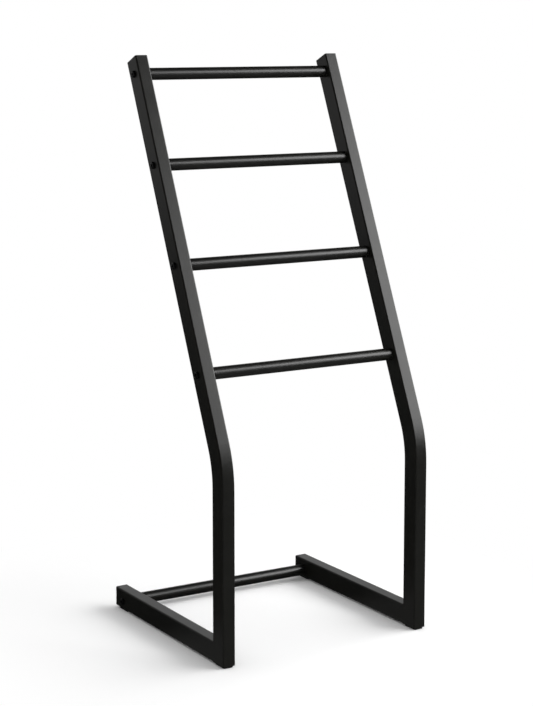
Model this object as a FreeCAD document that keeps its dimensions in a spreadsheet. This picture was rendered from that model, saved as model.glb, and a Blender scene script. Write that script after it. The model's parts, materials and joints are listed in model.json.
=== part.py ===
"""Freestanding towel stand: two bent tube side frames joined by four rungs and a base bar.

Millimetres. +X is the viewer's right, +Y the back, +Z up. The origin is on the floor, midway
between the side frames and midway between the posts' front faces and the feet's rear ends.
"""
import math
import os
import re

import FreeCAD
import Part
import Sketcher

Vector = FreeCAD.Vector
doc = FreeCAD.newDocument("towel_stand")

# ---------------------------------------------------------------- driving dimensions
SIZES = {
    # side frames
    "overall_width": 350,        # over the outer faces of the two side frames
    "overall_depth": 336,        # front of the posts to the rear of the feet
    "tube_width": 20,            # frame tube, across the stand
    "tube_depth": 30,            # frame tube, front to back in a post and bottom to top in a foot
    "tube_wall": 1.5,
    "tube_corner": 2,            # outer corner radius of the frame tube
    "bore_corner": 0.8,          # corner radius inside it
    "post_height": 255,          # floor to where the bend starts
    "bend_radius": 150,          # to the middle of the tube
    "lean_angle": 24,            # how far the upper part leans back from upright
    "lean_length": 583,          # straight tube above the bend
    # rungs and base bar
    "bar_diameter": 18,
    "bar_wall": 1.2,
    "top_rung_drop": 22,         # cut end of the tube to the top rung, along the tube
    "upper_pitch": 142,          # rung to rung, along the tube
    "middle_pitch": 153,
    "lower_pitch": 162,
    "base_bar_inset": 24,        # from the rear end of the feet
    "base_bar_rise": 12,         # above the underside of the feet
    # screws and the plugs that they pull on
    "screw_size": 6,
    "screw_length": 35,
    "screw_clearance": 0.5,      # on the diameter of the holes in the frame tube
    "head_diameter": 10.5,
    "head_height": 3.3,
    "head_round": 2.2,           # rounding of the button head
    "key_size": 4,
    "key_depth": 2,
    "plug_length": 18,
    "plug_chamfer": 0.8,
    # end caps
    "cap_flange": 2,
    "cap_reach": 10,             # how far a cap reaches into its tube
    "cap_wall": 1.6,
    "cap_clearance": 0.1,        # a side, between a cap's skirt and the tube's bore
    "cap_edge": 0.6,             # rounded rim of a cap or glide
    # glides
    "glide_height": 3,
    "glide_width": 15,
    "glide_length": 26,
    "stem_diameter": 8,
    "stem_gap": 3.3,             # between a rear glide's barb and the foot cap's skirt
    "barb_diameter": 9.4,
    "barb_height": 2.5,
    # weld between a foot and its post
    "weld_leg": 1,
}

sheet = doc.addObject("Spreadsheet::Sheet", "Sizes")
for row, (alias, number) in enumerate(SIZES.items(), start=1):
    sheet.set(f"A{row}", alias)
    sheet.set(f"B{row}", str(number))
    sheet.setAlias(f"B{row}", alias)
doc.recompute()


def size(text):
    """Sheet expression for a formula written with the plain names of the sizes."""
    return re.sub(r"\w+_\w+", r"Sizes.\g<0>", text)


def value(text):
    """Number that the same formula gives now, for a sketch's first geometry."""
    result = sheet.evalExpression(size(text))
    return float(getattr(result, "Value", result))


# Places that several pieces share, as formulas.
FRONT = "(-overall_depth / 2)"
FRAME_X = "(overall_width / 2 - tube_width / 2)"
BAR_LENGTH = "(overall_width - 2 * tube_width)"
POST_Y = f"({FRONT} + tube_depth / 2)"
REAR_SEAT = "(overall_depth / 2 - cap_flange)"
FOOT_MIDDLE = "(glide_height + tube_depth / 2)"
STEM_INSET = "(cap_flange + cap_reach + stem_gap + barb_diameter / 2)"
BEND_END_Y = f"({POST_Y} + bend_radius * (1 - cos(lean_angle)))"
BEND_END_Z = "(post_height + bend_radius * sin(lean_angle))"

RUNG_DROPS = {
    "top_rung": "top_rung_drop",
    "second_rung": "(top_rung_drop + upper_pitch)",
    "third_rung": "(top_rung_drop + upper_pitch + middle_pitch)",
    "lowest_rung": "(top_rung_drop + upper_pitch + middle_pitch + lower_pitch)",
}


def on_lean(drop):
    """Y and Z of the point on the tube's middle line that far below its cut top end."""
    along = f"(lean_length - {drop})"
    return f"({BEND_END_Y} + {along} * sin(lean_angle))", f"({BEND_END_Z} + {along} * cos(lean_angle))"


BARS = {name: on_lean(drop) for name, drop in RUNG_DROPS.items()}
BARS["base_bar"] = ("(overall_depth / 2 - base_bar_inset)", "(glide_height + base_bar_rise)")
SIDES = {"left": -1, "right": 1}


# ---------------------------------------------------------------- modelling helpers
def new_body(name):
    body = doc.addObject("PartDesign::Body", name)
    body.Label = name
    return body


def place(thing, x="0", y="0", z="0", axis=None, angle="0"):
    if axis:
        thing.Placement = FreeCAD.Placement(Vector(), FreeCAD.Rotation(axis, 1))
        thing.setExpression(".Placement.Rotation.Angle", size(angle))
    for letter, formula in zip("xyz", (x, y, z)):
        thing.setExpression(f".Placement.Base.{letter}", size(formula))


def new_sketch(body, name, plane, height="0"):
    """Sketch on one of the body's own base planes, lifted along that plane's normal."""
    sketch = body.newObject("Sketcher::SketchObject", name)
    support = next(p for p in body.Origin.OriginFeatures if p.Role == plane)
    sketch.AttachmentSupport = [(support, "")]
    sketch.MapMode = "FlatFace"
    sketch.setExpression(".AttachmentOffset.Base.z", size(height))
    return sketch


def constrain(sketch, name, formula, *args):
    """Named dimension driven by a formula of the sheet."""
    index = sketch.addConstraint(Sketcher.Constraint(*args, value(formula)))
    sketch.renameConstraint(index, name)
    sketch.setExpression(f"Constraints.{name}", size(formula))


def distance(sketch, name, formula, kind, geometry, point):
    """Signed distance of a point from the sketch's origin; zero becomes point on axis."""
    if formula == "0":
        axis = -2 if kind == "DistanceX" else -1
        sketch.addConstraint(Sketcher.Constraint("PointOnObject", geometry, point, axis))
    else:
        constrain(sketch, name, formula, kind, -1, 1, geometry, point)


def add_circle(sketch, name, diameter, y="0", z="0"):
    centre = Vector(value(y), value(z), 0)
    circle = sketch.addGeometry(Part.Circle(centre, Vector(0, 0, 1), value(diameter) / 2))
    constrain(sketch, f"{name}_diameter", diameter, "Diameter", circle)
    distance(sketch, f"{name}_across", y, "DistanceX", circle, 3)
    distance(sketch, f"{name}_up", z, "DistanceY", circle, 3)


def add_polygon(sketch, name, corners):
    """Closed outline of straight lines through corners given as pairs of formulas."""
    points = [Vector(value(a), value(b), 0) for a, b in corners]
    lines = [
        sketch.addGeometry(Part.LineSegment(start, end))
        for start, end in zip(points, points[1:] + points[:1])
    ]
    for line, following in zip(lines, lines[1:] + lines[:1]):
        sketch.addConstraint(Sketcher.Constraint("Coincident", line, 2, following, 1))
    for number, (line, (across, up)) in enumerate(zip(lines, corners)):
        distance(sketch, f"{name}_across_{number}", across, "DistanceX", line, 1)
        distance(sketch, f"{name}_up_{number}", up, "DistanceY", line, 1)


def add_rounded_rectangle(sketch, name, width, height, corner, up="0"):
    """Rectangle with round corners, centred on the sketch's upright axis."""
    w, h, r, lift = value(width) / 2, value(height) / 2, value(corner), value(up)
    z = Vector(0, 0, 1)
    centres = [(w - r, r - h), (w - r, h - r), (r - w, h - r), (r - w, r - h)]
    arcs, lines = [], []
    for number, (x, y) in enumerate(centres):
        start = (number - 1) * math.pi / 2
        circle = Part.Circle(Vector(x, y + lift, 0), z, r)
        arcs.append(sketch.addGeometry(Part.ArcOfCircle(circle, start, start + math.pi / 2)))
    for number in range(4):
        start = sketch.getPoint(arcs[number], 2)
        end = sketch.getPoint(arcs[(number + 1) % 4], 1)
        lines.append(sketch.addGeometry(Part.LineSegment(start, end)))
    for number, line in enumerate(lines):
        following = arcs[(number + 1) % 4]
        sketch.addConstraint(Sketcher.Constraint("Tangent", arcs[number], 2, line, 1))
        sketch.addConstraint(Sketcher.Constraint("Tangent", line, 2, following, 1))
        direction = "Horizontal" if number % 2 else "Vertical"
        sketch.addConstraint(Sketcher.Constraint(direction, line))
    for arc in arcs[1:]:
        sketch.addConstraint(Sketcher.Constraint("Equal", arcs[0], arc))
    constrain(sketch, f"{name}_corner", corner, "Radius", arcs[0])
    constrain(sketch, f"{name}_width", width, "DistanceX", lines[2], 1, lines[0], 1)
    constrain(sketch, f"{name}_height", height, "DistanceY", lines[3], 1, lines[1], 1)
    constrain(sketch, f"{name}_middle", f"{width} / 2 - {corner}", "DistanceX", -1, 1, arcs[0], 3)
    constrain(sketch, f"{name}_top", f"{up} + {height} / 2 - {corner}", "DistanceY", -1, 1, arcs[1], 3)


def pad(body, sketch, name, length, midplane=False, backwards=False):
    feature = body.newObject("PartDesign::Pad", name)
    feature.Profile = sketch
    feature.Midplane = midplane
    feature.Reversed = backwards
    feature.setExpression("Length", size(length))
    doc.recompute()


def pocket(body, sketch, name, length=None, backwards=False):
    """Cut a sketch's outline: to a depth, or right through both ways without one."""
    before = body.Shape.Volume
    feature = body.newObject("PartDesign::Pocket", name)
    feature.Profile = sketch
    if length is None:
        feature.Midplane = True
        feature.Type = "ThroughAll"
    else:
        feature.Reversed = backwards
        feature.setExpression("Length", size(length))
    doc.recompute()
    if not body.Shape.Volume < before:
        raise RuntimeError(f"{name} cut nothing from {body.Name}")


def edge_names(shape, test):
    return [f"Edge{number}" for number, edge in enumerate(shape.Edges, start=1) if test(edge)]


def dress(body, kind, name, test, amount):
    """Fillet or chamfer the edges of the body's tip that pass a test."""
    tip = body.Tip
    feature = body.newObject(f"PartDesign::{kind}", name)
    feature.Base = (tip, edge_names(tip.Shape, test))
    feature.setExpression("Radius" if kind == "Fillet" else "Size", size(amount))
    doc.recompute()


def at_height(level):
    """Test for edges that lie flat at that height of their own body."""
    number = value(level)

    def test(edge):
        box = edge.BoundBox
        return abs(box.ZMin - number) < 1e-4 and abs(box.ZMax - number) < 1e-4

    return test


def rim_at(level, radius):
    """Test for the circle of that radius round a body's X axis, at that place along it."""
    along, reach = value(level), value(radius)

    def test(edge):
        box = edge.BoundBox
        flat = abs(box.XMin - along) < 1e-4 and abs(box.XMax - along) < 1e-4
        return flat and abs(box.YMax - reach) < 1e-3

    return test


def tube_section(sketch, up="0"):
    """Outline and bore of the frame tube."""
    add_rounded_rectangle(sketch, "outer", "tube_width", "tube_depth", "tube_corner", up)
    bore_width = "(tube_width - 2 * tube_wall)"
    bore_depth = "(tube_depth - 2 * tube_wall)"
    add_rounded_rectangle(sketch, "bore", bore_width, bore_depth, "bore_corner", up)


# ---------------------------------------------------------------- side frames
def make_upright(side):
    """Front post, bend and leaning part: one tube, drilled for the four rung screws."""
    body = new_body(f"upright_{side}")
    path = new_sketch(body, f"upright_{side}_path", "YZ_Plane")
    straight = "(post_height - glide_height)"
    bend_y = "bend_radius * (1 - cos(lean_angle))"
    bend_z = f"({straight} + bend_radius * sin(lean_angle))"
    top_y = f"({bend_y} + lean_length * sin(lean_angle))"
    top_z = f"({bend_z} + lean_length * cos(lean_angle))"
    foot_end, bend_start = Vector(), Vector(0, value(straight), 0)
    bend_end = Vector(value(bend_y), value(bend_z), 0)
    top = Vector(value(top_y), value(top_z), 0)
    middle_y = value("bend_radius * (1 - cos(lean_angle / 2))")
    middle_z = value(f"{straight} + bend_radius * sin(lean_angle / 2)")
    post = path.addGeometry(Part.LineSegment(foot_end, bend_start))
    bend = path.addGeometry(Part.Arc(bend_start, Vector(middle_y, middle_z, 0), bend_end))
    lean = path.addGeometry(Part.LineSegment(bend_end, top))
    bend_first = 1 if path.getPoint(bend, 1).distanceToPoint(bend_start) < 1e-6 else 2
    path.addConstraint(Sketcher.Constraint("Coincident", post, 1, -1, 1))
    path.addConstraint(Sketcher.Constraint("Vertical", post))
    path.addConstraint(Sketcher.Constraint("Tangent", post, 2, bend, bend_first))
    path.addConstraint(Sketcher.Constraint("Tangent", bend, 3 - bend_first, lean, 1))
    constrain(path, "straight", straight, "DistanceY", -1, 1, post, 2)
    constrain(path, "radius", "bend_radius", "Radius", bend)
    constrain(path, "top_across", top_y, "DistanceX", -1, 1, lean, 2)
    constrain(path, "top_up", top_z, "DistanceY", -1, 1, lean, 2)

    section = new_sketch(body, f"upright_{side}_section", "XY_Plane")
    tube_section(section)
    tube = body.newObject("PartDesign::AdditivePipe", f"upright_{side}_tube")
    tube.Profile = section
    tube.Spine = (path, [])
    doc.recompute()

    holes = new_sketch(body, f"upright_{side}_holes", "YZ_Plane")
    for name, (y, z) in BARS.items():
        if name != "base_bar":
            hole_y, hole_z = f"({y} - {POST_Y})", f"({z} - glide_height)"
            add_circle(holes, name, "(screw_size + screw_clearance)", hole_y, hole_z)
    pocket(body, holes, f"upright_{side}_drilling")
    place(body, x=f"{SIDES[side]} * {FRAME_X}", y=POST_Y, z="glide_height")
    return body


def make_foot(side):
    """Straight foot behind the post, drilled for the base bar's screw and the rear glide's stem."""
    body = new_body(f"foot_{side}")
    section = new_sketch(body, f"foot_{side}_section", "XZ_Plane")
    tube_section(section, up="tube_depth / 2")
    length = "(overall_depth - tube_depth - cap_flange)"
    pad(body, section, f"foot_{side}_tube", length, backwards=True)
    holes = new_sketch(body, f"foot_{side}_hole", "YZ_Plane")
    bar_y = "(overall_depth - tube_depth - base_bar_inset)"
    add_circle(holes, "base_bar", "(screw_size + screw_clearance)", bar_y, "base_bar_rise")
    pocket(body, holes, f"foot_{side}_drilling")
    stem = new_sketch(body, f"foot_{side}_stem_hole", "XY_Plane")
    add_circle(stem, "stem", "stem_diameter", "0", f"(overall_depth - tube_depth - {STEM_INSET})")
    pocket(body, stem, f"foot_{side}_stem_drilling", "2 * tube_wall", backwards=True)
    place(body, x=f"{SIDES[side]} * {FRAME_X}", y=f"{FRONT} + tube_depth", z="glide_height")
    return body


def make_weld(side):
    """Bead over the foot's top and down both sides of its butt joint with the post."""
    body = new_body(f"foot_weld_{side}")
    profile = new_sketch(body, f"foot_weld_{side}_profile", "YZ_Plane")
    add_polygon(profile, "bead", [
        ("-tube_corner", "0"),
        ("0", "0"),
        ("0", "tube_depth - tube_corner"),
        ("weld_leg", "tube_depth - tube_corner"),
        ("weld_leg", "tube_depth"),
        ("0", "tube_depth + weld_leg"),
        ("-tube_corner", "tube_depth + weld_leg"),
    ])
    pad(body, profile, f"foot_weld_{side}_bead", "tube_width", midplane=True)
    post = new_sketch(body, f"foot_weld_{side}_post", "XY_Plane")
    add_rounded_rectangle(post, "post", "tube_width", "tube_depth", "tube_corner", "-tube_depth / 2")
    pocket(body, post, f"foot_weld_{side}_post_cut")
    foot = new_sketch(body, f"foot_weld_{side}_foot", "XZ_Plane")
    add_rounded_rectangle(foot, "foot", "tube_width", "tube_depth", "tube_corner", "tube_depth / 2")
    pocket(body, foot, f"foot_weld_{side}_foot_cut", "2 * weld_leg")
    place(body, x=f"{SIDES[side]} * {FRAME_X}", y=f"{FRONT} + tube_depth", z="glide_height")
    return body


# ---------------------------------------------------------------- end caps, plates and glides
def skirt(body, name):
    """Section of the hollow skirt that a cap pushes into the frame tube."""
    width = "(tube_width - 2 * tube_wall - 2 * cap_clearance)"
    depth = "(tube_depth - 2 * tube_wall - 2 * cap_clearance)"
    hollow_width, hollow_depth = f"({width} - 2 * cap_wall)", f"({depth} - 2 * cap_wall)"
    ring = new_sketch(body, f"{name}_skirt_section", "XY_Plane")
    add_rounded_rectangle(ring, "outer", width, depth, "bore_corner")
    add_rounded_rectangle(ring, "inner", hollow_width, hollow_depth, "bore_corner")
    return ring


def make_cap(name, x, y, z, lean):
    """Push-in cap: a flange over the tube's cut end, its skirt hidden in the bore.

    Its body's +Z points out of the tube, with the cut end at zero, and leans back from upright.
    """
    body = new_body(name)
    flange = new_sketch(body, f"{name}_outline", "XY_Plane")
    add_rounded_rectangle(flange, "flange", "tube_width", "tube_depth", "tube_corner")
    pad(body, flange, f"{name}_flange", "cap_flange")
    dress(body, "Fillet", f"{name}_rim", at_height("cap_flange"), "cap_edge")
    pad(body, skirt(body, name), f"{name}_skirt", "cap_reach", backwards=True)
    place(body, x, y, z, Vector(-1, 0, 0), lean)
    return body


def make_post_plate(side):
    """Plate welded flush into the post's lower end, drilled for its glide's stem."""
    name = f"post_plate_{side}"
    body = new_body(name)
    outline = new_sketch(body, f"{name}_outline", "XY_Plane")
    bore_width, bore_depth = "(tube_width - 2 * tube_wall)", "(tube_depth - 2 * tube_wall)"
    add_rounded_rectangle(outline, "plate", bore_width, bore_depth, "bore_corner")
    add_circle(outline, "stem", "stem_diameter")
    pad(body, outline, f"{name}_sheet", "tube_wall")
    place(body, x=f"{SIDES[side]} * {FRAME_X}", y=POST_Y, z="glide_height")
    return body


def make_glide(name, x, y):
    """Glide under one end of a side frame, held by a barbed stem through the steel above it."""
    body = new_body(name)
    outline = new_sketch(body, f"{name}_outline", "XY_Plane")
    add_rounded_rectangle(outline, "pad", "glide_width", "glide_length", "tube_corner")
    pad(body, outline, f"{name}_pad", "glide_height")
    dress(body, "Fillet", f"{name}_rim", at_height("0"), "cap_edge")
    stem = new_sketch(body, f"{name}_stem_outline", "XY_Plane", "glide_height")
    add_circle(stem, "stem", "stem_diameter")
    pad(body, stem, f"{name}_stem", "tube_wall")
    barb = new_sketch(body, f"{name}_barb_outline", "XY_Plane", "glide_height + tube_wall")
    add_circle(barb, "barb", "barb_diameter")
    pad(body, barb, f"{name}_barb", "barb_height")
    barb_top = "glide_height + tube_wall + barb_height"
    dress(body, "Chamfer", f"{name}_barb_tip", at_height(barb_top), "barb_height / 2")
    place(body, x, y)
    return body


# ---------------------------------------------------------------- rungs, plugs and screws
def make_bar(name, y, z):
    """Round tube between the side frames."""
    body = new_body(name)
    section = new_sketch(body, f"{name}_section", "YZ_Plane")
    add_circle(section, "outer", "bar_diameter")
    add_circle(section, "bore", "(bar_diameter - 2 * bar_wall)")
    pad(body, section, f"{name}_tube", BAR_LENGTH, midplane=True)
    place(body, y=y, z=z)
    return body


def make_plug(bar, side, y, z):
    """Threaded plug pressed into a bar's end, flush with it. Its body's +X points into the bar."""
    name = f"{bar}_plug_{side}"
    body = new_body(name)
    section = new_sketch(body, f"{name}_section", "YZ_Plane")
    add_circle(section, "outer", "(bar_diameter - 2 * bar_wall)")
    add_circle(section, "thread", "screw_size")
    pad(body, section, f"{name}_barrel", "plug_length")
    inner_rim = rim_at("plug_length", "bar_diameter / 2 - bar_wall")
    dress(body, "Chamfer", f"{name}_lead", inner_rim, "plug_chamfer")
    turn = "0" if side == "left" else "180"
    place(body, f"{SIDES[side]} * {BAR_LENGTH} / 2", y, z, Vector(0, 0, 1), turn)
    return body


def make_screw(bar, side, y, z):
    """Button head screw. Its body's +X points along the shank, with the head's seat at zero."""
    name = f"{bar}_screw_{side}"
    body = new_body(name)
    profile = new_sketch(body, f"{name}_profile", "XZ_Plane")
    tip = "screw_size / 8"
    add_polygon(profile, "half", [
        ("-head_height", "0"),
        ("-head_height", "head_diameter / 2"),
        ("0", "head_diameter / 2"),
        ("0", "screw_size / 2"),
        (f"(screw_length - {tip})", "screw_size / 2"),
        ("screw_length", f"(screw_size / 2 - {tip})"),
        ("screw_length", "0"),
    ])
    turned = body.newObject("PartDesign::Revolution", f"{name}_turned")
    turned.Profile = profile
    turned.ReferenceAxis = (profile, ["H_Axis"])
    turned.Angle = 360
    doc.recompute()
    dress(body, "Fillet", f"{name}_crown", rim_at("-head_height", "head_diameter / 2"), "head_round")
    socket = new_sketch(body, f"{name}_socket_outline", "YZ_Plane", "-head_height")
    half = "key_size / 2"
    corner = "key_size / 2 / cos(30)"
    add_polygon(socket, "key", [
        (corner, "0"),
        (f"{corner} / 2", half),
        (f"-{corner} / 2", half),
        (f"-{corner}", "0"),
        (f"-{corner} / 2", f"-{half}"),
        (f"{corner} / 2", f"-{half}"),
    ])
    pocket(body, socket, f"{name}_socket", "key_depth", backwards=True)
    turn = "0" if side == "left" else "180"
    place(body, f"{SIDES[side]} * overall_width / 2", y, z, Vector(0, 0, 1), turn)
    return body


# ---------------------------------------------------------------- the assembly
parts = []
screws = []
for side_name, sign in SIDES.items():
    parts.append(make_upright(side_name))
    parts.append(make_foot(side_name))
    parts.append(make_weld(side_name))
    frame_x = f"{sign} * {FRAME_X}"
    top_end_y, top_end_z = on_lean("0")
    parts.append(make_cap(f"top_cap_{side_name}", frame_x, top_end_y, top_end_z, "lean_angle"))
    parts.append(make_cap(f"foot_cap_{side_name}", frame_x, REAR_SEAT, FOOT_MIDDLE, "90"))
    parts.append(make_post_plate(side_name))
    parts.append(make_glide(f"front_glide_{side_name}", frame_x, POST_Y))
    parts.append(make_glide(f"rear_glide_{side_name}", frame_x, f"overall_depth / 2 - {STEM_INSET}"))

for bar_name, (bar_y, bar_z) in BARS.items():
    parts.append(make_bar(bar_name, bar_y, bar_z))
    for side_name in SIDES:
        parts.append(make_plug(bar_name, side_name, bar_y, bar_z))
        screws.append(make_screw(bar_name, side_name, bar_y, bar_z))

screw_set = doc.addObject("Part::Compound", "frame_screws")
screw_set.Label = "frame_screws"
screw_set.Links = screws
parts.append(screw_set)
doc.recompute()

# ---------------------------------------------------------------- checks and files
for thing in doc.Objects:
    if {"Invalid", "Error"} & set(thing.State):
        raise RuntimeError(f"{thing.Name} is {thing.State}")
for part in parts:
    if part.Shape.isNull() or not part.Shape.isValid():
        raise RuntimeError(f"{part.Label} has no valid shape")

os.makedirs("parts", exist_ok=True)
for part in parts:
    part.Shape.exportStep(f"parts/{part.Label}.step")
    print(f"{part.Label}: {len(part.Shape.Solids)} solid, {part.Shape.Volume:.0f} mm3")
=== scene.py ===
import json
import math

import bmesh
import bpy
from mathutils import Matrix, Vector

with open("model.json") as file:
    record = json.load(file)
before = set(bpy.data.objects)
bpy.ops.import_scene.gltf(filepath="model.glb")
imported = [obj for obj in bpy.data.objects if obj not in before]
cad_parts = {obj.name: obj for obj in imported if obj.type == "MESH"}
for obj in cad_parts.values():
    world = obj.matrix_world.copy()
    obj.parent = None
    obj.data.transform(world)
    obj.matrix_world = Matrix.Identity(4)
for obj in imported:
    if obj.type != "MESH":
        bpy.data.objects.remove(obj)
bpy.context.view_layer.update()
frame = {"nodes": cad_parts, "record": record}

MM = 0.001

scene = bpy.context.scene
bpy.ops.object.select_all(action="DESELECT")


# ---------------------------------------------------------------- shader writing
class Socket:
    """A shader value, so that maths on it can be written as an expression."""

    def __init__(self, sheet, link):
        self.sheet, self.link = sheet, link

    def maths(self, operation, first, second):
        return self.sheet.node("ShaderNodeMath", {"operation": operation}, {0: first, 1: second})

    def __add__(self, other):
        return self.maths("ADD", self, other)

    def __sub__(self, other):
        return self.maths("SUBTRACT", self, other)

    def __rsub__(self, other):
        return self.maths("SUBTRACT", other, self)

    def __mul__(self, other):
        return self.maths("MULTIPLY", self, other)

    __radd__ = __add__
    __rmul__ = __mul__


class Sheet:
    """The node tree of one material or of the world."""

    def __init__(self, owner):
        owner.use_nodes = True
        self.owner, self.tree = owner, owner.node_tree
        self.tree.nodes.clear()

    def node(self, kind, settings=None, inputs=None, out=0):
        """Add a node: its settings first, then its sockets' values or links.

        Gives its output of that name or number, or a list of them where out is a tuple.
        """
        made = self.tree.nodes.new(kind)
        for name, setting in (settings or {}).items():
            setattr(made, name, setting)
        for name, value in (inputs or {}).items():
            if isinstance(value, Socket):
                self.tree.links.new(value.link, made.inputs[name])
            else:
                made.inputs[name].default_value = value
        if isinstance(out, tuple):
            return [Socket(self, made.outputs[name]) for name in out]
        return Socket(self, made.outputs[out]) if made.outputs else None

    def vector(self, operation, first, second=None, out=0):
        inputs = {0: first} if second is None else {0: first, 1: second}
        return self.node("ShaderNodeVectorMath", {"operation": operation}, inputs, out)

    def place(self):
        return self.node("ShaderNodeTexCoord", out="Object")

    def stretched(self, scale):
        """Place times a scale, which differs from axis to axis."""
        return self.node("ShaderNodeMapping", None, {"Vector": self.place(), "Scale": scale})

    def noise(self, size, detail, place=None):
        """Noise between 0 and 1 whose lumps are about that long."""
        inputs = {"Vector": place or self.place(), "Scale": 1 / size, "Detail": detail}
        return self.node("ShaderNodeTexNoise", None, inputs)

    def between(self, amount, low, high):
        """Amount from 0 to 1, eased in between two values."""
        inputs = {"Value": amount, "From Min": low, "From Max": high}
        return self.node("ShaderNodeMapRange", {"interpolation_type": "SMOOTHSTEP"}, inputs)

    def blend(self, amount, first, second):
        """Colour part of the way from one to the other."""
        inputs = {0: amount, 6: first, 7: second}
        return self.node("ShaderNodeMix", {"data_type": "RGBA"}, inputs, out=2)

    def bump(self, height, depth, under=None):
        """Relief of that depth, on top of the relief under it."""
        inputs = {"Height": height, "Distance": depth, "Strength": 1.0}
        if under:
            inputs["Normal"] = under
        return self.node("ShaderNodeBump", None, inputs, out="Normal")

    def glow(self, colour):
        return self.node("ShaderNodeEmission", None, {"Color": colour, "Strength": 1.0})

    def finish(self, surface):
        """Make that shader the material's surface."""
        self.node("ShaderNodeOutputMaterial", None, {"Surface": surface})
        return self.owner

    def finish_principled(self, **inputs):
        """Finish with the Principled shader: constants on its own sockets, and what varies linked."""
        named = {name.replace("_", " "): value for name, value in inputs.items()}
        return self.finish(self.node("ShaderNodeBsdfPrincipled", None, named))


def grey(level, blue=1.0):
    """Neutral colour, or a warm one with its blue lowered."""
    return (level, level, level * blue, 1)


# ---------------------------------------------------------------- finishes
DARKER, LIGHTER = 0.8, 1.2        # ends of a finish's tones, as parts of its own
WARM = 0.78                       # blue in the powder coat, as a part of its red

# Powder coat: lumps of its cloudy gloss, orange peel and grain, and the relief of the last two.
CLOUD, PEEL, GRAIN = 28 * MM, 1.1 * MM, 0.28 * MM
PEEL_DEPTH, GRAIN_DEPTH = 0.02 * MM, 0.004 * MM

# Lines that show through the coating of a drawn tube: lumps to the metre, along it and across.
DRAWN_LINES = (12, 900, 900)
DRAWN_DEPTH = 0.006 * MM

# Moulded plastic: lumps of its gloss, and the relief of its pits.
FLOW, PIT_DEPTH = 9 * MM, 0.03 * MM

# Turned steel: lumps of its plating's stain, and its rings, which are drawn out across X.
STAIN = 4 * MM
RING_STRETCH, RING_DEPTH = (1, 0.2, 0.2), 0.01 * MM


def varied(level, *swings):
    """A level that each noise swings by so much from end to end."""
    for noise, swing in swings:
        level = level + (noise - 0.5) * swing
    return level


def powder_coat(name, tone, roughness, index, drawn=False):
    """Satin black powder coat: orange peel, a fine grain and cloudy gloss."""
    sheet = Sheet(bpy.data.materials.new(name))
    clouds = sheet.noise(CLOUD, 3)
    peel = sheet.noise(PEEL, 1)
    grain = sheet.noise(GRAIN, 2)
    mottle = sheet.between(grain * 0.6 + clouds * 0.4, 0.3, 0.7)
    relief = sheet.bump(peel, PEEL_DEPTH, sheet.bump(grain, GRAIN_DEPTH))
    if drawn:
        lines = sheet.noise(1.0, 2, sheet.stretched(DRAWN_LINES))
        relief = sheet.bump(lines, DRAWN_DEPTH, relief)
    return sheet.finish_principled(
        Base_Color=sheet.blend(mottle, grey(tone * DARKER, WARM), grey(tone * LIGHTER, WARM)),
        Roughness=varied(roughness, (clouds, 0.08), (grain, 0.06)),
        Normal=relief,
        IOR=index,
    )


def moulded_plastic(name, tone, roughness, texture):
    """Matt black plastic with a spark-eroded mould's fine texture."""
    sheet = Sheet(bpy.data.materials.new(name))
    pits = sheet.noise(texture, 3)
    flow = sheet.noise(FLOW, 2)
    return sheet.finish_principled(
        Base_Color=sheet.blend(sheet.between(pits, 0.35, 0.7), grey(tone), grey(tone * 1.6)),
        Roughness=varied(roughness, (flow, 0.1), (pits, 0.12)),
        Normal=sheet.bump(pits, PIT_DEPTH),
        IOR=1.5,
    )


def turned_steel(name, tone, roughness, metal, line):
    """Steel turned about X: fine rings, with a little variation in the plating."""
    sheet = Sheet(bpy.data.materials.new(name))
    rings = sheet.noise(line, 2, sheet.stretched(RING_STRETCH))
    stain = sheet.noise(STAIN, 3)
    return sheet.finish_principled(
        Base_Color=sheet.blend(stain, grey(tone * DARKER), grey(tone * LIGHTER)),
        Metallic=metal,
        Roughness=varied(roughness, (rings, 0.1), (stain, 0.08)),
        Normal=sheet.bump(rings, RING_DEPTH),
        IOR=1.5,
    )


FINISHES = {
    "frame_coating": powder_coat("satin black frame coating", tone=0.0065, roughness=0.31, index=1.5),
    "bar_coating": powder_coat(
        "satin black bar coating", tone=0.0055, roughness=0.33, index=1.7, drawn=True
    ),
    "cap_plastic": moulded_plastic(
        "matt black cap plastic", tone=0.006, roughness=0.5, texture=0.35 * MM
    ),
    "glide_plastic": moulded_plastic(
        "matt black glide plastic", tone=0.003, roughness=0.8, texture=0.5 * MM
    ),
    "plug_steel": turned_steel(
        "zinc-plated plug steel", tone=0.55, roughness=0.35, metal=1.0, line=0.15 * MM
    ),
    "screw_steel": turned_steel(
        "black oxide screw steel", tone=0.002, roughness=0.42, metal=0.0, line=0.12 * MM
    ),
}
for subpart in frame["record"]["subparts"]:
    node = frame["nodes"][subpart["node"]]
    node.data.materials.clear()
    node.data.materials.append(FINISHES[subpart["material_slot"]])


# ---------------------------------------------------------------- floor and background
FLOOR_REACH = 9.0
FLOOR_TONE = 0.96
SHADED_HALF = (0.2, 0.25, 1.0)    # half the size of the box within which the floor is shaded
FADE = 0.3                        # from there out to the white


def seen_rays(sheet):
    """1 for what the camera sees, straight or in metal or through glass."""
    kinds = ("Is Camera Ray", "Is Glossy Ray", "Is Transmission Ray")
    straight, mirrored, through = sheet.node("ShaderNodeLightPath", out=kinds)
    return sheet.node("ShaderNodeClamp", None, {"Value": straight + mirrored + through})


def staged(name):
    """Name what was added last, and mark it as scenery."""
    thing = bpy.context.object
    thing.name = name
    thing.select_set(False)
    return thing


def stage_disc(name, radius, height):
    bpy.ops.mesh.primitive_circle_add(
        vertices=96, radius=radius, fill_type="NGON", location=(0, 0, height)
    )
    return staged(name)


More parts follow.
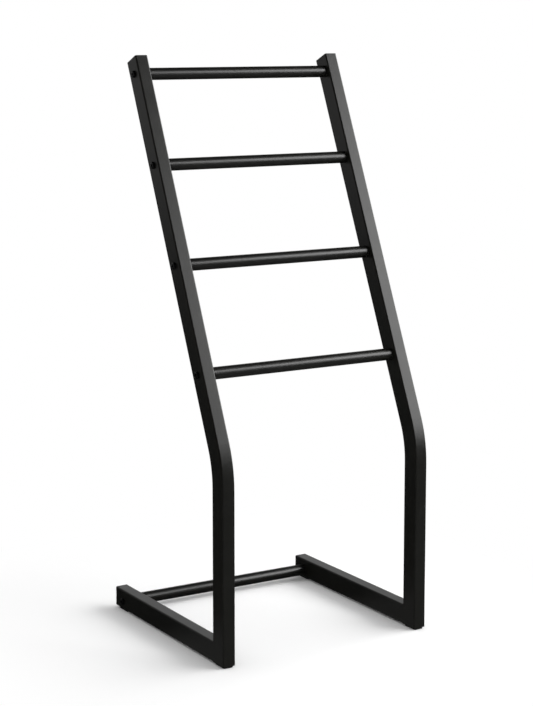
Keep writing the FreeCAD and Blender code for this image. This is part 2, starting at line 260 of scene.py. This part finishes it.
def pale_floor():
    """Pale round the stand, and turning into the white background further out."""
    sheet = Sheet(bpy.data.materials.new("pale floor"))
    off = sheet.vector("ABSOLUTE", sheet.place())
    off = sheet.vector("MAXIMUM", sheet.vector("SUBTRACT", off, SHADED_HALF), (0, 0, 0))
    away = sheet.vector("LENGTH", off, out="Value")
    whiteness = sheet.between(away, 0.0, FADE) * seen_rays(sheet)
    matt = sheet.node("ShaderNodeBsdfDiffuse", None, {"Color": grey(FLOOR_TONE)})
    mix = {0: whiteness, 1: matt, 2: sheet.glow(grey(1.0))}
    return sheet.finish(sheet.node("ShaderNodeMixShader", None, mix))


stage_disc("floor", FLOOR_REACH, 0.0).data.materials.append(pale_floor())

# The coating's reflections are painted: a dark studio with a grey backdrop behind the stand.
# Only reflections see these two glowing cards, so they take no light from the floor.
CARD_REACH = 6.0
CARD_GAP = 0.3 * MM
# Painted reflection glows: the dark studio, and the grey backdrop behind the stand.
PAINTED_DARK_GLOW, PAINTED_BACKDROP_GLOW = 0.004, 0.6
# Painted reflection glows of the floor, behind the stand and in front of it.
PAINTED_FLOOR_DARK_GLOW, PAINTED_FLOOR_FRONT_GLOW = 0.02, 0.1

# Where a card's tone turns, as a part of the unit vector towards it.
PAINTED_BACKDROP_EDGE = (0.35, 0.55)
PAINTED_BACKDROP_TOP = (0.42, 0.58)
PAINTED_BACKDROP_DIM_SIDE = (-0.4, 0.3)
PAINTED_FLOOR_TURN = (-0.3, 0.3)


def painted_reflection_card(thing, dark, light, share):
    """Give a card its painted reflection glow: the share of the light tone from 0 to 1 over its own
    coordinates.
    """
    sheet = Sheet(bpy.data.materials.new(f"{thing.name} glow"))
    way = sheet.vector("NORMALIZE", sheet.place())
    across, behind, height = sheet.node("ShaderNodeSeparateXYZ", None, {0: way}, ("X", "Y", "Z"))
    tone = sheet.blend(share(sheet, across, behind, height), grey(dark), grey(light))
    thing.data.materials.append(sheet.finish(sheet.glow(tone)))
    for rays in ("camera", "diffuse", "transmission", "shadow"):
        setattr(thing, f"visible_{rays}", False)


def painted_backdrop_share(sheet, across, behind, height):
    """Painted reflection of the lower part of a wall behind the stand, half as bright on the left."""
    wall = sheet.between(behind, *PAINTED_BACKDROP_EDGE) * (1 - sheet.between(height, *PAINTED_BACKDROP_TOP))
    return wall * (0.5 + sheet.between(across, *PAINTED_BACKDROP_DIM_SIDE) * 0.5)


def painted_floor_share(sheet, across, behind, height):
    """Painted reflection of the floor: lighter in front of the stand, darker behind it."""
    return 1 - sheet.between(behind, *PAINTED_FLOOR_TURN)


def stage_dome(name, radius):
    bpy.ops.mesh.primitive_uv_sphere_add(segments=48, ring_count=24, radius=radius)
    dome = staged(name)
    shell = bmesh.new()
    shell.from_mesh(dome.data)
    below = [face for face in shell.faces if face.calc_center_median().z < 0]
    bmesh.ops.delete(shell, geom=below, context="FACES")
    shell.to_mesh(dome.data)
    shell.free()
    return dome


# Painted reflection of a dark floor, seen only in the coating, lighter in front.
painted_reflection_card(stage_disc("painted_floor_reflection", CARD_REACH, CARD_GAP), PAINTED_FLOOR_DARK_GLOW, PAINTED_FLOOR_FRONT_GLOW, painted_floor_share)
# Painted reflection of a dark studio with a grey backdrop, seen only in the coating.
painted_reflection_card(stage_dome("painted_studio_reflection", CARD_REACH), PAINTED_DARK_GLOW, PAINTED_BACKDROP_GLOW, painted_backdrop_share)

# ---------------------------------------------------------------- light
AMBIENT = 0.67

# White for what the camera sees, and AMBIENT as light on the stand and the floor.
scene.world = bpy.data.worlds.new("studio")
sky = Sheet(scene.world)
level = AMBIENT + seen_rays(sky) * (1 - AMBIENT)
room = sky.node("ShaderNodeBackground", None, {"Color": grey(1.0), "Strength": level})
sky.node("ShaderNodeOutputWorld", None, {"Surface": room})


def direction(azimuth, elevation):
    """Unit vector away from the stand: azimuth 0 is its front, and 90 its right side."""
    a, e = math.radians(azimuth), math.radians(elevation)
    return Vector((math.sin(a) * math.cos(e), -math.cos(a) * math.cos(e), math.sin(e)))


def aimed(name, data, place, way):
    """Add a lamp or a camera at a place, looking back along the way out to it."""
    rig = bpy.data.objects.new(name, data)
    scene.collection.objects.link(rig)
    rig.location = place
    rig.rotation_euler = (-way).to_track_quat("-Z", "Y").to_euler()
    return rig


def softbox(name, way, distance, size, radiance, target, mirrored):
    """Area light that far out from a target, with a width, a height and a radiance."""
    lamp = bpy.data.lights.new(name, "AREA")
    lamp.shape, lamp.size, lamp.size_y = "RECTANGLE", *size
    lamp.energy = radiance * 4 * lamp.size * lamp.size_y
    rig = aimed(name, lamp, Vector(target) + way * distance, way)
    rig.visible_camera = False
    rig.visible_glossy = mirrored


softbox(
    "front_softbox", direction(65, 23.8), distance=3.2, size=(3.7, 2.1), radiance=4.0,
    target=(0, 0, 0.5), mirrored=True,
)
softbox(
    "top_softbox", direction(130, 62), distance=3.0, size=(2.4, 2.4), radiance=0.12,
    target=(0, 0, 0), mirrored=False,
)

# ---------------------------------------------------------------- camera
VIEW_AZIMUTH, VIEW_ELEVATION = -31.15, 8.16
VIEW_POINT = (-1.4183, -2.3430, 0.8982)
LENS, SENSOR = 94.316, 36         # in millimetres
LIFT = -0.0874                    # lens shift, as a part of the frame's height
NEAR, FAR = 0.05, 50

view_way = direction(VIEW_AZIMUTH, VIEW_ELEVATION)
camera = aimed("camera", bpy.data.cameras.new("camera"), VIEW_POINT, view_way)
camera.data.lens, camera.data.sensor_width = LENS, SENSOR
camera.data.shift_y = LIFT
camera.data.clip_start, camera.data.clip_end = NEAR, FAR
scene.camera = camera
scene.view_settings.view_transform = "Standard"
